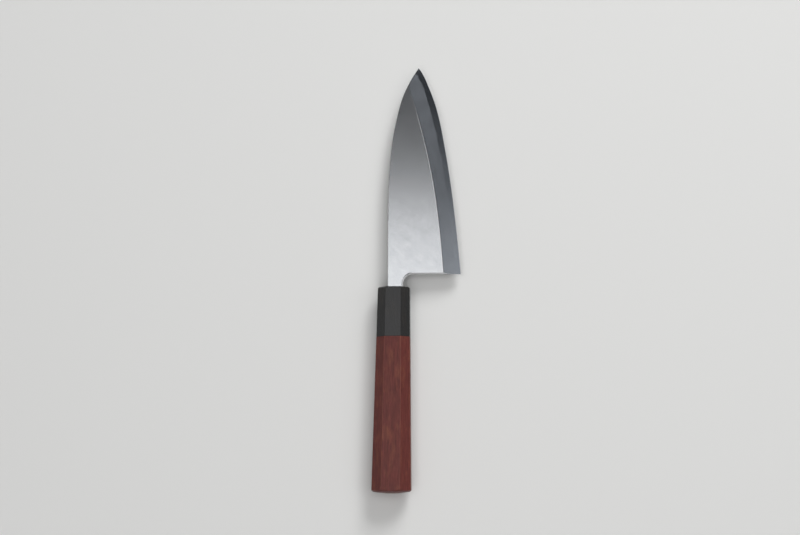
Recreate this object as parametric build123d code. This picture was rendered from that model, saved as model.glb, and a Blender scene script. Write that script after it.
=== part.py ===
from build123d import *
import math
import os

# Deba knife: a heavy single-bevel blade for fish, its tang bedded in an eight-sided wooden
# handle behind a black horn ferrule. All sizes are millimetres. The knife lies on its flat back:
# X runs from the spine to the cutting edge, Y from the butt to the tip, Z up to the bevelled face.
# It is drawn about the handle's centre line, with the ferrule's mouth at Y zero, and at the end
# it is moved so that the origin lies under the middle of its bounding box.

# Blade seen from above
heel_to_tip = 141.5
neck_length = 9.0
blade_height = 48.7          # from the straight spine to the corner of the heel
neck_height = 10.3
spine_offset = 4.1           # from the handle's centre line out to the straight spine
choil_radius = 6.5

# Blade thickness and grinds
heel_thickness = 6.4         # at the spine, above the heel
ridge_thickness = 4.2        # at the ridge, above the heel
point_thickness = 2.1        # where the ridge runs out into the spine
edge_flat = 0.1
small_bevel_width = 0.45
small_bevel_angle = 32
choil_rounding = 1.1
spine_easing = 0.35

# Hard steel layer on the back
steel_at_heel = 1.4
steel_at_tip = 0.65
steel_on_neck = 3.5          # how far the layer reaches along the neck

# Hollow ground into the back
hollow_depth = 0.45
spine_rim = 3.2
edge_rim = 2.2
hollow_from_heel = 3.0
hollow_from_tip = 7.0

# Tang
tang_length = 92.0
tang_root_height = 7.0
tang_root_thickness = 4.6
tang_end_height = 5.0
tang_end_thickness = 3.0

# Handle: height is measured across X, thickness along Z
handle_length = 135.5
ferrule_length = 33.0
mouth_height = 21.0
mouth_thickness = 18.2
mouth_flat = 10.2            # width of the upper facet at the mouth
butt_height = 25.9
butt_thickness = 21.8
butt_flat = 12.5             # width of the upper facet at the butt
handle_lean = 1.7            # how far the butt's centre is set over towards the spine
facet_easing = 0.35
rim_chamfer = 0.7
butt_crown = 1.2
butt_chamfer_angle = 35
crown_share = 0.94           # of the butt's half height, out to where its chamfer starts

# Dowel that joins ferrule and body, and the resin bed of the tang
dowel_diameter = 12.0
dowel_clearance = 0.05
ferrule_front_wall = 4.0
dowel_in_body = 24.0
glue_gap = 0.35
glue_end_gap = 3.0

# How far every cutting tool runs past the piece, and the same as a share of a bevel's width
overrun = 5.0
overrun_share = 0.6

# Outline points of the blade, each as a share of the way from heel to tip
# and a share of the way from the straight spine to the corner of the heel
spine_shares = ((0.25, 0.0), (0.47, 0.014), (0.645, 0.061), (0.76, 0.125), (0.84, 0.187),
                (0.917, 0.282), (1.0, 0.424))
edge_shares = ((0.0, 1.0), (0.24, 0.934), (0.47, 0.852), (0.67, 0.757), (0.82, 0.657),
               (0.92, 0.55), (0.97, 0.484), (1.0, 0.424))
ridge_shares = ((0.0, 0.759), (0.24, 0.698), (0.47, 0.604), (0.67, 0.478), (0.82, 0.36),
                (0.915, 0.272), (1.0, 0.19))
ridge_end_share = 0.905      # where the ridge meets the spine

# Places along the blade where the bevel's section is drawn, closer together towards the tip
bevel_station_shares = (-0.05, 0.0, 0.08, 0.2, 0.35, 0.5, 0.64, 0.76, 0.85, 0.91, 0.95, 0.98, 1.0, 1.04)

# The hollow's sections: how many, how near its ends the first and last lie, how quickly it
# reaches its full width and depth, and how wide the blade must be for the full depth
hollow_sections = 14
hollow_end_share = 0.1
width_round_share = 0.1
depth_round_share = 0.3
full_depth_share = 0.25

spine_x = -spine_offset
neck_x = spine_x + neck_height
back_z = -heel_thickness / 2


def outline_point(along_share, across_share):
    """A point of the blade's outline, from its two shares."""
    return Vector(spine_x + across_share * blade_height, neck_length + along_share * heel_to_tip)


def curve_through(shares):
    """A smooth curve through outline points, listed from the heel to the tip."""
    return Spline([outline_point(*pair) for pair in shares])


def curved_spine():
    """The falling part of the spine, which leaves the straight part without a kink."""
    points = [outline_point(*pair) for pair in spine_shares]
    return Spline(points, tangents=[(0, 1), points[-1] - points[-2]])


def across_at(curve, y):
    """Where a curve crosses a line square to the knife; past its ends it runs straight on."""
    for end in (0, 1):
        point = curve.position_at(end)
        way = curve.tangent_at(end)
        if (end == 0 and y <= point.Y) or (end == 1 and y >= point.Y):
            return point.X + (y - point.Y) * way.X / way.Y
    low, high = 0.0, 1.0
    while high - low > 1e-9:
        middle = (low + high) / 2
        if curve.position_at(middle).Y < y:
            low = middle
        else:
            high = middle
    return curve.position_at(low).X


spine_line = curved_spine()
edge_line = curve_through(edge_shares)
ridge_line = curve_through(ridge_shares)

# The flat face above the ridge is one plane, which falls towards the ridge and towards the tip
ridge_end_y = neck_length + ridge_end_share * heel_to_tip
ridge_end_drop = across_at(ridge_line, ridge_end_y) - spine_x
fall_across = (heel_thickness - ridge_thickness) / (across_at(ridge_line, neck_length) - spine_x)
fall_along = (heel_thickness - point_thickness - fall_across * ridge_end_drop) / (ridge_end_y - neck_length)


def face_z(x, y):
    """Height of the flat face."""
    return back_z + heel_thickness - fall_across * (x - spine_x) - fall_along * (y - neck_length)


def above_flat_face():
    """Everything above the flat face, as one tilted block."""
    plane = Plane(origin=(spine_x, neck_length, face_z(spine_x, neck_length)), z_dir=(fall_across, fall_along, 1))
    reach = 4 * heel_to_tip
    return plane * Box(reach, reach, blade_height, align=(Align.CENTER, Align.CENTER, Align.MIN))


def blade_outline():
    """The blade and its neck seen from above, with the rounded notch before the heel."""
    heel_point = outline_point(0, 1)
    sides = [Line((spine_x, 0), spine_line @ 0), spine_line, edge_line,
             Line(heel_point, (neck_x, neck_length)), Line((neck_x, neck_length), (neck_x, 0)),
             Line((neck_x, 0), (spine_x, 0))]
    outline = make_face(sides)
    notch_corner = outline.vertices().sort_by_distance((neck_x, neck_length))[0]
    return fillet(notch_corner, choil_radius)


def bevel_cutter():
    """What grinding takes away: the wide bevel under the ridge, and the small one at the edge."""
    rise = small_bevel_width * math.tan(math.radians(small_bevel_angle))
    top_z = back_z + heel_thickness + overrun
    sections = []
    for share in bevel_station_shares:
        y = neck_length + share * heel_to_tip
        edge_x = across_at(edge_line, y)
        ridge_x = across_at(ridge_line, y)
        lip = Vector(edge_x, 0, back_z + edge_flat)
        shoulder = Vector(edge_x - small_bevel_width, 0, back_z + edge_flat + rise)
        ridge = Vector(ridge_x, 0, face_z(ridge_x, y))
        outer = lip + (lip - shoulder) * overrun_share
        upper = ridge + (ridge - shoulder) * overrun_share
        far_x = edge_x + overrun
        corners = [outer, shoulder, upper, Vector(far_x, 0, top_z), Vector(far_x, 0, outer.Z)]
        sections.append(make_face(Polyline([corner + Vector(0, y) for corner in corners], close=True)))
    return loft(sections)


def hollow_cutter():
    """The scoop ground out of the back, which leaves a flat rim all round."""
    start_y = neck_length + hollow_from_heel
    end_y = neck_length + heel_to_tip - hollow_from_tip
    straight_end = spine_line @ 0
    sections = []
    for section in range(hollow_sections + 1):
        turn = (section + hollow_end_share) / (hollow_sections + 2 * hollow_end_share)
        share = (1 - math.cos(math.pi * turn)) / 2
        fullness = math.sin(math.pi * share)
        y = start_y + share * (end_y - start_y)
        left = spine_rim + (across_at(spine_line, y) if y > straight_end.Y else spine_x)
        right = across_at(edge_line, y) - edge_rim
        middle = (left + right) / 2
        half = (right - left) / 2 * fullness ** width_round_share
        room = min(1, half / (full_depth_share * blade_height))
        depth = hollow_depth * room * fullness ** depth_round_share
        arc = ThreePointArc((middle - half, y, back_z), (middle, y, back_z + depth), (middle + half, y, back_z))
        below = Polyline((middle + half, y, back_z), (middle + half, y, back_z - overrun),
                         (middle - half, y, back_z - overrun), (middle - half, y, back_z))
        sections.append(make_face([arc, below]))
    return loft(sections)


def edges_from_mouth(face):
    """A face's edges in the order in which they lie along the knife."""
    return face.edges().sort_by(Axis.Y)


def ground_blade():
    """The blade and neck as one form: cut out, ground, rounded and hollowed."""
    blank = Pos(0, 0, back_z) * extrude(blade_outline(), heel_thickness + overrun)
    blade = blank - above_flat_face() - bevel_cutter()

    # The neck's end comes first along each face, then the neck's lower side, the notch, the heel,
    # the straight spine, the ridge or the cutting edge, and last the falling spine
    flats = blade.faces().filter_by(GeomType.PLANE).sort_by(Axis.Z)
    back, flat_face = edges_from_mouth(flats[0]), edges_from_mouth(flats[-1])
    blade = fillet([back[4], back[-1], flat_face[4], flat_face[-1]], spine_easing)

    flat_face = edges_from_mouth(blade.faces().filter_by(GeomType.PLANE).sort_by(Axis.Z)[-1])
    neck_end, neck_side, notch, heel = flat_face[:4]
    blade = fillet([neck_side, notch, heel], choil_rounding)
    return blade - hollow_cutter()


def steel_space():
    """The space of the hard steel: a thin wedge over the whole back, thinner towards the tip."""
    start_y = neck_length - steel_on_neck
    end_y = neck_length + heel_to_tip + overrun
    slope = (steel_at_heel - steel_at_tip) / heel_to_tip
    start_top = back_z + steel_at_heel + slope * steel_on_neck
    end_top = back_z + steel_at_tip - slope * overrun
    low_z = back_z - overrun
    side = Plane.YZ * make_face(Polyline((start_y, low_z), (end_y, low_z), (end_y, end_top), (start_y, start_top),
                                         close=True))
    return Pos(spine_x - overrun, 0, 0) * extrude(side, blade_height + 2 * overrun, dir=(1, 0, 0))


def lean_at(y):
    """Where the handle's centre line lies across X at a place along the handle."""
    return handle_lean * y / handle_length


def tapered_form(front, back):
    """A solid between two outlines whose matching sides are parallel, so that every side is flat."""
    faces = [Face(Wire.make_polygon(outline)) for outline in (front, back)]
    for corner in range(len(front)):
        side = [front[corner - 1], front[corner], back[corner], back[corner - 1]]
        faces.append(Face(Wire.make_polygon(side)))
    return Part() + Solid(Shell(faces))


def bar_corners(height, thickness, y):
    """The corners of a box section on the handle's centre line."""
    x, z = height / 2, thickness / 2
    return [Vector(lean_at(y) + side, y, level) for side, level in ((x, z), (x, -z), (-x, -z), (-x, z))]


def octagon_corners(height, thickness, flat, y):
    """The corners of the handle's section: a box section with its corners cut at 45 degrees."""
    x, z = height / 2, thickness / 2
    upper_x = flat / 2
    side_z = z - (x - upper_x)
    around = ((upper_x, z), (x, side_z), (x, -side_z), (upper_x, -z),
              (-upper_x, -z), (-x, -side_z), (-x, side_z), (-upper_x, z))
    return [Vector(lean_at(y) + side, y, level) for side, level in around]


def tang():
    """The tapered tang, thinner than the neck, so that the neck's shoulders seat on the ferrule."""
    return tapered_form(bar_corners(tang_root_height, tang_root_thickness, 0),
                        bar_corners(tang_end_height, tang_end_thickness, -tang_length))


def slot():
    """The slot for the tang: its own form with room for resin all round and at its end."""
    room = 2 * glue_gap
    return tapered_form(bar_corners(tang_root_height + room, tang_root_thickness + room, 0),
                        bar_corners(tang_end_height + room, tang_end_thickness + room,
                                    -tang_length - glue_end_gap))


def butt_form():
    """A turned form, flattened to the handle's section, that crowns the butt and scallops its chamfer."""
    crown_radius = crown_share * butt_height / 2
    outer_radius = butt_height / 2 + overrun
    chamfer_rise = (outer_radius - crown_radius) * math.tan(math.radians(butt_chamfer_angle))
    far_y = handle_length + overrun
    crown = ThreePointArc((-crown_radius, butt_crown), (0, 0), (crown_radius, butt_crown)).trim(0.5, 1)
    outside = Polyline((crown_radius, butt_crown), (outer_radius, butt_crown + chamfer_rise),
                       (outer_radius, far_y), (0, far_y), (0, 0))
    turned = revolve(make_face([crown, outside]), Axis.Y)
    flattened = scale(turned, by=(1, 1, butt_thickness / butt_height))
    return Pos(lean_at(-handle_length), -handle_length, 0) * flattened


def handle_blank():
    """The eight-sided handle in one length: rim chamfered, long corners eased, butt crowned."""
    blank = tapered_form(octagon_corners(mouth_height, mouth_thickness, mouth_flat, 0),
                         octagon_corners(butt_height, butt_thickness, butt_flat, -handle_length))
    mouth_face = blank.faces().sort_by(Axis.Y)[-1]
    blank = chamfer(mouth_face.edges(), rim_chamfer)
    long_corners = [edge for edge in blank.edges() if edge.length > handle_length / 2]
    return fillet(long_corners, facet_easing) & butt_form()


def dowel_bar(radius):
    """A round bar along the handle's centre line, from behind the ferrule's front wall into the body."""
    lean_angle = math.degrees(math.atan(handle_lean / handle_length))
    length = ferrule_length - ferrule_front_wall + dowel_in_body
    bar = Cylinder(radius, length, rotation=(90, 0, 0), align=(Align.CENTER, Align.CENTER, Align.MIN))
    return Rot(0, 0, -lean_angle) * Pos(0, -ferrule_front_wall, 0) * bar


def ferrule_and_body():
    """The handle parted square behind the ferrule, both halves bored for the dowel and slotted."""
    handle = handle_blank() - dowel_bar(dowel_diameter / 2 + dowel_clearance) - slot()
    front = Pos(0, -ferrule_length, 0) * Box(2 * butt_height, 2 * ferrule_length, 2 * butt_thickness,
                                            align=(Align.CENTER, Align.MIN, Align.CENTER))
    return handle & front, handle - front


def handle_dowel():
    """The wooden dowel, with the slot through it."""
    return dowel_bar(dowel_diameter / 2) - slot()


blade = ground_blade()
ferrule, handle_body = ferrule_and_body()
pieces = {
    "blade_iron": blade - steel_space() + tang(),
    "edge_steel": blade & steel_space(),
    "ferrule": ferrule,
    "handle_body": handle_body,
    "handle_dowel": handle_dowel(),
    "tang_adhesive": slot() - tang(),
}

box = Compound(children=[Compound(piece.solids()) for piece in pieces.values()]).bounding_box()
to_origin = Pos(-box.center().X, -box.center().Y, -box.min.Z)

os.makedirs("parts", exist_ok=True)
for name, piece in pieces.items():
    placed = to_origin * piece
    export_step(placed, f"parts/{name}.step")
    print(name, "solids:", len(placed.solids()), "volume:", round(placed.volume, 1))
print("overall size:", [round(value, 2) for value in (box.size.X, box.size.Y, box.size.Z)])
print("moved by:", [round(value, 4) for value in to_origin.position])
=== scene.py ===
# %% [markdown]
# # A deba knife, dressed for the camera
# The CAD frame already holds every piece at its real size. This lesson gives the pieces the
# surfaces that a hand sees and feels: ground iron, honed steel, black horn and oiled rosewood.
# All lengths are metres. The knife lies on its flat back: +X points to the cutting edge,
# +Y to the tip and +Z up, out of the bevelled face.

# %% Load the frame
import math

import bmesh
import bpy
import numpy as np
from mathutils import Matrix, Vector
from mathutils.bvhtree import BVHTree


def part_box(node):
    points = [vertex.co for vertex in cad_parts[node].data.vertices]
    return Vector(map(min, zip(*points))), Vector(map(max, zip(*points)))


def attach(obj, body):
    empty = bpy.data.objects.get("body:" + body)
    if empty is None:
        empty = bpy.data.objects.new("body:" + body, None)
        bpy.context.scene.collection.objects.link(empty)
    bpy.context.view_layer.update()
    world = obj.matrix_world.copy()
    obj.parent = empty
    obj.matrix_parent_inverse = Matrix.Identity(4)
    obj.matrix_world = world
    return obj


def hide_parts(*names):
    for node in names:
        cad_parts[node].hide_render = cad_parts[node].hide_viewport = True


MM = 0.001

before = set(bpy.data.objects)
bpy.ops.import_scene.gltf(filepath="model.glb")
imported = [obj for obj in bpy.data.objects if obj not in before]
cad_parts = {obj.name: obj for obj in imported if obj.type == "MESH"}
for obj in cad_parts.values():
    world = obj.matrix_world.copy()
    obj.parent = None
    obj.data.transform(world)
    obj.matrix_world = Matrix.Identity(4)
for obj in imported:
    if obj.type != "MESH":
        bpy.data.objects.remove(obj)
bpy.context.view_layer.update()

# %% [markdown]
# ## The camera
# A knife photographed for a catalogue lies flat while the camera looks almost straight down.
# Here the camera leans a little towards the handle and towards the cutting edge, so that the
# notch before the heel shows its polished wall. A long lens keeps the outline true, where a
# short one would swell whatever is nearest.

# %% Camera
CAMERA_DISTANCE = 1150 * MM
CAMERA_TARGET = Vector((-11.1, 6.1, 10.9)) * MM
LEAN_TO_HANDLE = math.radians(8.0)
LEAN_TO_EDGE = math.radians(3.8)
LENS = 77.8


def add_camera():
    """A camera that looks down at the knife, with the tip at the top of the picture."""
    towards = Vector((math.tan(LEAN_TO_EDGE), -math.tan(LEAN_TO_HANDLE), 1)).normalized()
    right = Vector((0, 1, 0)).cross(towards).normalized()
    up = towards.cross(right)
    data = bpy.data.cameras.new("camera")
    data.lens = LENS
    camera = bpy.data.objects.new("camera", data)
    bpy.context.collection.objects.link(camera)
    camera.matrix_world = Matrix((right, up, towards)).transposed().to_4x4()
    camera.location = CAMERA_TARGET + towards * CAMERA_DISTANCE
    bpy.context.scene.camera = camera
    print("camera at", [round(value, 3) for value in camera.location])


add_camera()
bpy.context.scene.view_settings.view_transform = "Standard"

# %% [markdown]
# ## Small helpers for nodes
# A node tree can be drawn by hand or built by a script. In a script every node takes three steps:
# make it, set it and link it. One helper does all three, so the lines that follow say only what
# a node is for. A second one does arithmetic on values that differ from point to point. A Mix node
# has sockets of one name for every kind of data, so those for colours are picked by number.

# %% Helpers for nodes
MIX_COLOUR_INPUTS = (0, 6, 7)
MIX_COLOUR_OUTPUT = 2


def fill_socket(tree, socket, value):
    """Link another node's output to a socket, or set a constant on it."""
    if isinstance(value, bpy.types.NodeSocket):
        tree.links.new(value, socket)
    else:
        socket.default_value = value


def add_node(tree, kind, inputs=None, **settings):
    """One node of a tree, with its settings and its inputs."""
    node = tree.nodes.new(kind)
    for name, value in settings.items():
        setattr(node, name, value)
    for socket, value in (inputs or {}).items():
        fill_socket(tree, node.inputs[socket], value)
    return node


def calc(tree, operation, *values):
    """The result of one Math node."""
    return add_node(tree, "ShaderNodeMath", dict(enumerate(values)), operation=operation).outputs[0]


def remap(tree, value, low, high, new_low=0.0, new_high=1.0, curve="LINEAR"):
    """A value moved from one range to another, and held inside the new one."""
    ranges = {"Value": value, "From Min": low, "From Max": high, "To Min": new_low, "To Max": new_high}
    return add_node(tree, "ShaderNodeMapRange", ranges, interpolation_type=curve).outputs[0]


def mixed(tree, share, first, second):
    """A value part of the way from one to another."""
    return add_node(tree, "ShaderNodeMix", {"Factor": share, "A": first, "B": second},
                    clamp_factor=False).outputs[0]


def blend(tree, share, first, second):
    """A colour part of the way from one to another."""
    node = add_node(tree, "ShaderNodeMix", data_type="RGBA")
    for number, value in zip(MIX_COLOUR_INPUTS, (share, first, second)):
        fill_socket(tree, node.inputs[number], value)
    return node.outputs[MIX_COLOUR_OUTPUT]


print("helpers:", [helper.__name__ for helper in (fill_socket, add_node, calc, remap, mixed, blend)])

# %% [markdown]
# ## The floor
# The knife lies on a plain pale sheet, which keeps its shadow. A small sheet would show its rim
# in low views, and an endless one turns dark far from the lamps. So the sheet is large, and far
# from the knife it glows in the colour of the backdrop, for the camera and for the mirrors of the
# blade. The light that falls on the knife doesn't change.

# %% Floor
BACKDROP = (0.67, 0.67, 0.66, 1)
FLOOR_COLOUR = (0.78, 0.78, 0.77, 1)
FLOOR_ROUGHNESS = 0.9
FLOOR_SIZE = 8.0
FLOOR_NEAR, FLOOR_FAR = 0.35, 1.1


def seen_directly(tree):
    """1 for what the camera, a mirror or glass shows, and 0 for light that falls on the object."""
    rays = add_node(tree, "ShaderNodeLightPath").outputs
    mirrored = calc(tree, "MAXIMUM", rays["Is Glossy Ray"], rays["Is Transmission Ray"])
    return calc(tree, "MAXIMUM", rays["Is Camera Ray"], mirrored)


def pale_paper():
    """Matt paper that fades into the backdrop far away."""
    material = bpy.data.materials.new("pale_paper")
    material.use_nodes = True
    tree = material.node_tree
    paper = tree.nodes["Principled BSDF"]
    paper.inputs["Base Color"].default_value = FLOOR_COLOUR
    paper.inputs["Roughness"].default_value = FLOOR_ROUGHNESS
    place = add_node(tree, "ShaderNodeTexCoord").outputs["Object"]
    distance = add_node(tree, "ShaderNodeVectorMath", {0: place}, operation="LENGTH").outputs["Value"]
    far = remap(tree, distance, FLOOR_NEAR, FLOOR_FAR, curve="SMOOTHSTEP")
    glow = add_node(tree, "ShaderNodeEmission", {"Color": BACKDROP})
    seen_far = calc(tree, "MULTIPLY", far, seen_directly(tree))
    both_looks = add_node(tree, "ShaderNodeMixShader", {0: seen_far, 1: paper.outputs[0], 2: glow.outputs[0]})
    tree.links.new(both_looks.outputs[0], tree.nodes["Material Output"].inputs["Surface"])
    return material


def add_floor():
    """A square sheet under the knife."""
    half = FLOOR_SIZE / 2
    corners = [(-half, -half, 0), (half, -half, 0), (half, half, 0), (-half, half, 0)]
    mesh = bpy.data.meshes.new("floor")
    mesh.from_pydata(corners, [], [(0, 1, 2, 3)])
    mesh.materials.append(pale_paper())
    floor = bpy.data.objects.new("floor", mesh)
    bpy.context.collection.objects.link(floor)
    print("floor", FLOOR_SIZE, "m wide, wears", mesh.materials[0].name)


add_floor()

# %% [markdown]
# ## The light
# Polished metal shows whatever stands round it, so the room is part of its look. One soft panel
# hangs over the handle and the heel, and ends above the middle of the blade: there the heel
# mirrors the panel, and the tip mirrors the dark ceiling behind it. The bevel faces another way,
# so it has a dimmer panel of its own, to the right. A third panel stands behind the tip and throws
# the shadows. Bare bulbs would give hard white spots on such a blade, which is why all three are
# large. The walls of the room are pale and the ceiling is dark.

# %% Lamps and room
WALL_LIGHT, CEILING_LIGHT = 0.10, 0.30
CEILING_SEEN = (0.07, 0.072, 0.076, 1)
WALL_TOP, CEILING_START = 0.42, 0.78
PANELS = {
    "overhead_panel": {"place": (-0.15, -0.34, 1.6), "size": (0.9, 1.52), "brightness": 1.9,
                       "looks_at": (-0.15, -0.34, 0)},
    "bevel_panel": {"place": (1.5, -0.12, 1.6), "size": (1.5, 1.1), "brightness": 1.1,
                    "looks_at": (1.5, -0.12, 0)},
    "shadow_panel": {"place": (0.75, 1.75, 1.45), "size": (1.0, 1.0), "brightness": 10.5,
                     "looks_at": (0, 0, 0)},
}


def add_panel(name, place, size, brightness, looks_at):
    """A rectangular soft lamp that faces a point; its brightness is that of its surface."""
    data = bpy.data.lights.new(name, "AREA")
    data.shape = "RECTANGLE"
    data.size, data.size_y = size
    data.energy = brightness * math.pi * size[0] * size[1]
    lamp = bpy.data.objects.new(name, data)
    bpy.context.collection.objects.link(lamp)
    lamp.location = place
    lamp.rotation_euler = (Vector(looks_at) - Vector(place)).to_track_quat("-Z", "Y").to_euler()
    print(name, "gives", round(data.energy, 1), "watts")


def add_room():
    """A room with pale walls and a dark ceiling, which gives only a little light of its own."""
    world = bpy.data.worlds.new("room")
    world.use_nodes = True
    tree = world.node_tree
    tree.nodes.clear()
    direction = add_node(tree, "ShaderNodeTexCoord").outputs["Generated"]
    height = add_node(tree, "ShaderNodeSeparateXYZ", {0: direction}).outputs["Z"]
    overhead = remap(tree, height, WALL_TOP, CEILING_START, curve="SMOOTHSTEP")
    look = blend(tree, overhead, BACKDROP, CEILING_SEEN)
    seen = add_node(tree, "ShaderNodeBackground", {"Color": look})
    strength = remap(tree, overhead, 0, 1, WALL_LIGHT, CEILING_LIGHT)
    light = add_node(tree, "ShaderNodeBackground", {"Color": (1, 1, 1, 1), "Strength": strength})
    both_looks = add_node(tree, "ShaderNodeMixShader", {0: seen_directly(tree), 1: light.outputs[0],
                                                        2: seen.outputs[0]})
    add_node(tree, "ShaderNodeOutputWorld", {0: both_looks.outputs[0]})
    bpy.context.scene.world = world


for name, panel in PANELS.items():
    add_panel(name, **panel)
add_room()

# %% [markdown]
# ## The eight-sided handle
# The handle is a box section with its corners cut at 45 degrees. It tapers towards the blade, and
# leans a little, so that its butt is set over towards the spine. It could be drawn as two outlines
# with a loft between them, but every point follows one rule: a corner number and a place along the
# handle give it. So a Geometry Nodes tree bends one flat grid round into the handle. The ferrule
# and the wooden body are two lengths of the same tree. Where the mouth lies is read from the
# ferrule's solid, whose box is that of its wider end.

# %% Sizes of the handle
HANDLE_SIZES = {
    "Length": 135.5 * MM, "Lean": 1.7 * MM, "Easing": 0.35 * MM,
    "Mouth Height": 21.0 * MM, "Mouth Thickness": 18.2 * MM, "Mouth Flat": 10.2 * MM,
    "Butt Height": 25.9 * MM, "Butt Thickness": 21.8 * MM, "Butt Flat": 12.5 * MM,
}
FERRULE_LENGTH = 33.0 * MM

ferrule_low, ferrule_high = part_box("ferrule")
lean_at_joint = HANDLE_SIZES["Lean"] * FERRULE_LENGTH / HANDLE_SIZES["Length"]
mouth = Vector(((ferrule_low[0] + ferrule_high[0]) / 2 + lean_at_joint, ferrule_high[1],
                (ferrule_low[2] + ferrule_high[2]) / 2))
print("centre of the ferrule's mouth at", [round(value / MM, 2) for value in mouth], "mm")

# %% [markdown]
# The rule starts along the handle. Six rows of points are enough: a row closed to a point at each
# end, a rim drawn in a little at each end for its small chamfer, and a full section beside each
# rim. An Index Switch node picks the value for a row, as a drawer is picked by its number.

# %% Rule along the handle
ROWS = 6


def choose(tree, index, values):
    """The value with the given number."""
    node = add_node(tree, "GeometryNodeIndexSwitch", data_type="FLOAT")
    while len(node.index_switch_items) < len(values):
        node.index_switch_items.new()
    fill_socket(tree, node.inputs["Index"], index)
    for number, value in enumerate(values):
        fill_socket(tree, node.inputs[number + 1], value)
    return node.outputs[0]


def row_values(tree, sizes, row):
    """For each row: its depth behind the mouth, how far it is drawn in, and whether it is open."""
    front, back = sizes["Front"], sizes["Back"]
    after_front = calc(tree, "ADD", front, sizes["Front Rim"])
    before_back = calc(tree, "SUBTRACT", back, sizes["Back Rim"])
    depth = choose(tree, row, [front, front, after_front, before_back, back, back])
    drawn_in = choose(tree, row, [sizes["Front Rim"], sizes["Front Rim"], 0, 0, sizes["Back Rim"],
                                  sizes["Back Rim"]])
    is_open = choose(tree, row, [0, 1, 1, 1, 1, 0])
    return depth, drawn_in, is_open


def section_sizes(tree, sizes, share):
    """Height, thickness, flat and side of the section, a share of the way from mouth to butt."""
    height, thickness, flat = (mixed(tree, share, sizes[f"Mouth {name}"], sizes[f"Butt {name}"])
                               for name in ("Height", "Thickness", "Flat"))
    side = calc(tree, "SUBTRACT", thickness, calc(tree, "SUBTRACT", height, flat))
    return height, thickness, flat, side


print("rows of points along a length of the handle:", ROWS)

# %% [markdown]
# Then it goes round. Each of the eight corners is eased by a short arc, because a maker breaks
# every sharp edge of a handle with fine paper. The sharp corner is found first, from the section's
# sizes. It is drawn in along the line that halves it, and the arc is laid round that place.

# %% Rule round a section
CORNERS = 8
CORNER_STEPS = 4
EIGHTH = 2 * math.pi / CORNERS


def handle_place(tree, sizes, around, row):
    """Where one point of the handle lies."""
    depth, drawn_in, is_open = row_values(tree, sizes, row)
    share = calc(tree, "DIVIDE", depth, sizes["Length"])
    height, thickness, flat, side = section_sizes(tree, sizes, share)

    corner = calc(tree, "FLOOR", calc(tree, "DIVIDE", around, CORNER_STEPS + 1))
    step = calc(tree, "SUBTRACT", around, calc(tree, "MULTIPLY", corner, CORNER_STEPS + 1))
    middle = calc(tree, "MULTIPLY_ADD", corner, EIGHTH, EIGHTH / 2)
    turn = calc(tree, "MULTIPLY_ADD", step, EIGHTH / CORNER_STEPS, calc(tree, "SUBTRACT", middle, EIGHTH / 2))
    across, up = calc(tree, "COSINE", middle), calc(tree, "SINE", middle)
    on_side = calc(tree, "GREATER_THAN", calc(tree, "ABSOLUTE", across), calc(tree, "ABSOLUTE", up))
    pull = calc(tree, "DIVIDE", calc(tree, "ADD", sizes["Easing"], drawn_in), math.cos(EIGHTH / 2))

    def coordinate(direction, on_flat_size, on_side_size, arc):
        """One coordinate of the point, from the sharp corner to the arc round it."""
        half = calc(tree, "DIVIDE", mixed(tree, on_side, on_flat_size, on_side_size), 2)
        sharp = calc(tree, "MULTIPLY", calc(tree, "SIGN", direction), half)
        centre = calc(tree, "SUBTRACT", sharp, calc(tree, "MULTIPLY", direction, pull))
        return calc(tree, "MULTIPLY", calc(tree, "MULTIPLY_ADD", arc, sizes["Easing"], centre), is_open)

    x = coordinate(across, flat, height, calc(tree, "COSINE", turn))
    z = coordinate(up, thickness, side, calc(tree, "SINE", turn))
    leaned = calc(tree, "SUBTRACT", x, calc(tree, "MULTIPLY", share, sizes["Lean"]))
    y = calc(tree, "MULTIPLY", depth, -1)
    return add_node(tree, "ShaderNodeCombineXYZ", {0: leaned, 1: y, 2: z}).outputs[0]


print("points round a section:", CORNERS * (CORNER_STEPS + 1))

# %% [markdown]
# A grid is flat and open, and a handle is round and closed. The grid's last column lands on its
# first, and each end row shrinks to one place, so merging the points that lie together closes the
# form. Two closed forms can then be crossed, or one cut out of another.

# %% Forms that follow a rule
MERGE_DISTANCE = 0.001 * MM


def bent_grid(tree, columns, rows, place):
    """A closed form: a flat grid bent round by a rule, its seam and its end points merged."""
    grid = add_node(tree, "GeometryNodeMeshGrid", {"Size X": columns, "Size Y": rows - 1,
                                                   "Vertices X": columns + 1, "Vertices Y": rows})
    position = add_node(tree, "GeometryNodeInputPosition").outputs[0]
    number = add_node(tree, "ShaderNodeSeparateXYZ", {0: position}).outputs
    column = calc(tree, "ROUND", calc(tree, "ADD", number["X"], columns / 2))
    row = calc(tree, "ROUND", calc(tree, "ADD", number["Y"], (rows - 1) / 2))
    around = calc(tree, "FLOORED_MODULO", column, columns)
    bent = add_node(tree, "GeometryNodeSetPosition", {"Geometry": grid.outputs["Mesh"],
                                                      "Position": place(around, row)})
    return add_node(tree, "GeometryNodeMergeByDistance", {"Geometry": bent.outputs[0],
                                                          "Distance": MERGE_DISTANCE}).outputs[0]


def boolean(tree, operation, first, others):
    """Closed forms crossed, or the others cut out of the first."""
    node = add_node(tree, "GeometryNodeMeshBoolean", operation=operation, solver="EXACT")
    tree.links.new(first, node.inputs["Mesh 1" if operation == "DIFFERENCE" else "Mesh 2"])
    for other in others:
        tree.links.new(other, node.inputs["Mesh 2"])
    return node.outputs["Mesh"]


print("points closer than", MERGE_DISTANCE / MM, "mm are merged")

# %% [markdown]
# ## The turned butt
# The butt isn't cut square. It is crowned like a low dome and its rim is turned off at an angle,
# and where that turned rim meets the eight flat facets it leaves a scallop on each. Modelling the
# scallops one by one would be guesswork. Crossing the handle with a turned form gives them exactly.

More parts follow.
